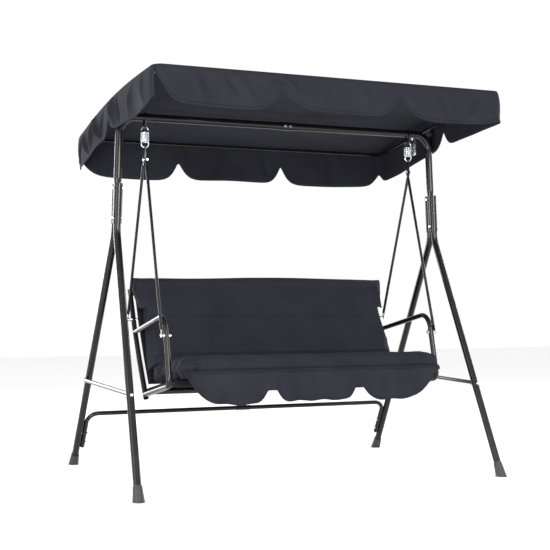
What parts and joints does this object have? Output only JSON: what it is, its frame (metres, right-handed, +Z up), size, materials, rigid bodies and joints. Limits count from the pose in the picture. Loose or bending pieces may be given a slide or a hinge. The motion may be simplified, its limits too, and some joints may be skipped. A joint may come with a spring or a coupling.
{
  "type": "canopy swing bench",
  "caption": "Free-standing garden swing bench: a cushioned seat hung on springs and rods from a tubular steel frame, under a tilting scalloped fabric canopy",
  "frame": {"origin": "on the floor, at the middle of the bounding box", "axes": "+Z up, the seat faces -Y, +X to the right as seen from the front"},
  "size_m": [1.5464, 1.2249, 1.5395],
  "materials": {
    "frame_paint": "gloss black powder coat",
    "bright_zinc": "bright zinc plating",
    "cap_plastic": "moulded satin",
    "knob_plastic": "moulded satin",
    "canopy_fabric": "woven polyester, matt",
    "cushion_fabric": "woven polyester, matt",
    "sling_fabric": "open mesh sling, matt"
  },
  "bodies": {
    "frame": {"left_front_leg": "frame_paint", "left_rear_leg": "frame_paint", "left_front_foot_cap": "cap_plastic", "left_rear_foot_cap": "cap_plastic", "left_leg_socket": "frame_paint", "left_post_and_crossbar": "frame_paint", "left_lower_crossbar": "frame_paint", "left_side_stretcher": "frame_paint", "left_hanger_strap": "frame_paint", "left_tilt_plate": "frame_paint", "right_front_leg": "frame_paint", "right_rear_leg": "frame_paint", "right_front_foot_cap": "cap_plastic", "right_rear_foot_cap": "cap_plastic", "right_leg_socket": "frame_paint", "right_post_and_crossbar": "frame_paint", "right_lower_crossbar": "frame_paint", "right_side_stretcher": "frame_paint", "right_hanger_strap": "frame_paint", "right_tilt_plate": "frame_paint", "socket_bolts": "bright_zinc", "crossbar_joint_bolts": "bright_zinc", "lower_crossbar_sleeve": "frame_paint", "lower_crossbar_bolts": "bright_zinc", "stretcher_saddles": "frame_paint", "stretcher_bolts": "bright_zinc", "right_safety_link": "bright_zinc", "tilt_bolts": "bright_zinc"},
    "left_hanger": {"left_spring": "bright_zinc"},
    "right_hanger": {"right_spring": "bright_zinc"},
    "seat": {"left_hanger_link": "frame_paint", "left_front_rod": "frame_paint", "left_rear_rod": "frame_paint", "left_seat_rail": "frame_paint", "left_back_upright": "frame_paint", "left_armrest": "frame_paint", "right_hanger_link": "frame_paint", "right_front_rod": "frame_paint", "right_rear_rod": "frame_paint", "right_seat_rail": "frame_paint", "right_back_upright": "frame_paint", "right_armrest": "frame_paint", "hanger_bolts": "bright_zinc", "rod_bolts": "bright_zinc", "rod_spacers": "bright_zinc", "seat_front_tube": "frame_paint", "seat_rear_tube": "frame_paint", "back_top_tube": "frame_paint", "seat_sling": "sling_fabric", "back_sling": "sling_fabric", "seat_cushion": "cushion_fabric", "back_cushion": "cushion_fabric", "seat_front_flap": "cushion_fabric"},
    "canopy": {"canopy_cover": "canopy_fabric", "left_canopy_arm": "frame_paint", "right_canopy_arm": "frame_paint", "canopy_pivot_tabs": "frame_paint", "canopy_end_tubes": "frame_paint"},
    "left_knob": {"left_tilt_knob": "knob_plastic"},
    "right_knob": {"right_tilt_knob": "knob_plastic"}
  },
  "joints": [
    {"name": "left_hanger_swing", "type": "hinge", "parent": "frame", "child": "left_hanger", "pos_m": [-0.597, -0.051, 1.412], "axis": [1, 0, 0], "range_deg": [-15, 15]},
    {"name": "right_hanger_swing", "type": "hinge", "parent": "frame", "child": "right_hanger", "pos_m": [0.597, -0.051, 1.412], "axis": [1, 0, 0], "range_deg": [-15, 15]},
    {"name": "seat_swing", "type": "hinge", "parent": "left_hanger", "child": "seat", "pos_m": [-0.597, -0.051, 1.3285], "axis": [1, 0, 0], "range_deg": [-15, 15]},
    {"name": "canopy_tilt", "type": "hinge", "parent": "frame", "child": "canopy", "pos_m": [0, -0.051, 1.457], "axis": [1, 0, 0], "range_deg": [-15, 15]},
    {"name": "left_knob_turn", "type": "hinge", "parent": "frame", "child": "left_knob", "pos_m": [-0.703, -0.051, 1.457], "axis": [-1, 0, 0], "continuous": true},
    {"name": "right_knob_turn", "type": "hinge", "parent": "frame", "child": "right_knob", "pos_m": [0.703, -0.051, 1.457], "axis": [1, 0, 0], "continuous": true}
  ],
  "couplings": [
    {"joint": "right_hanger_swing", "follows": "left_hanger_swing", "ratio": 1}
  ]
}
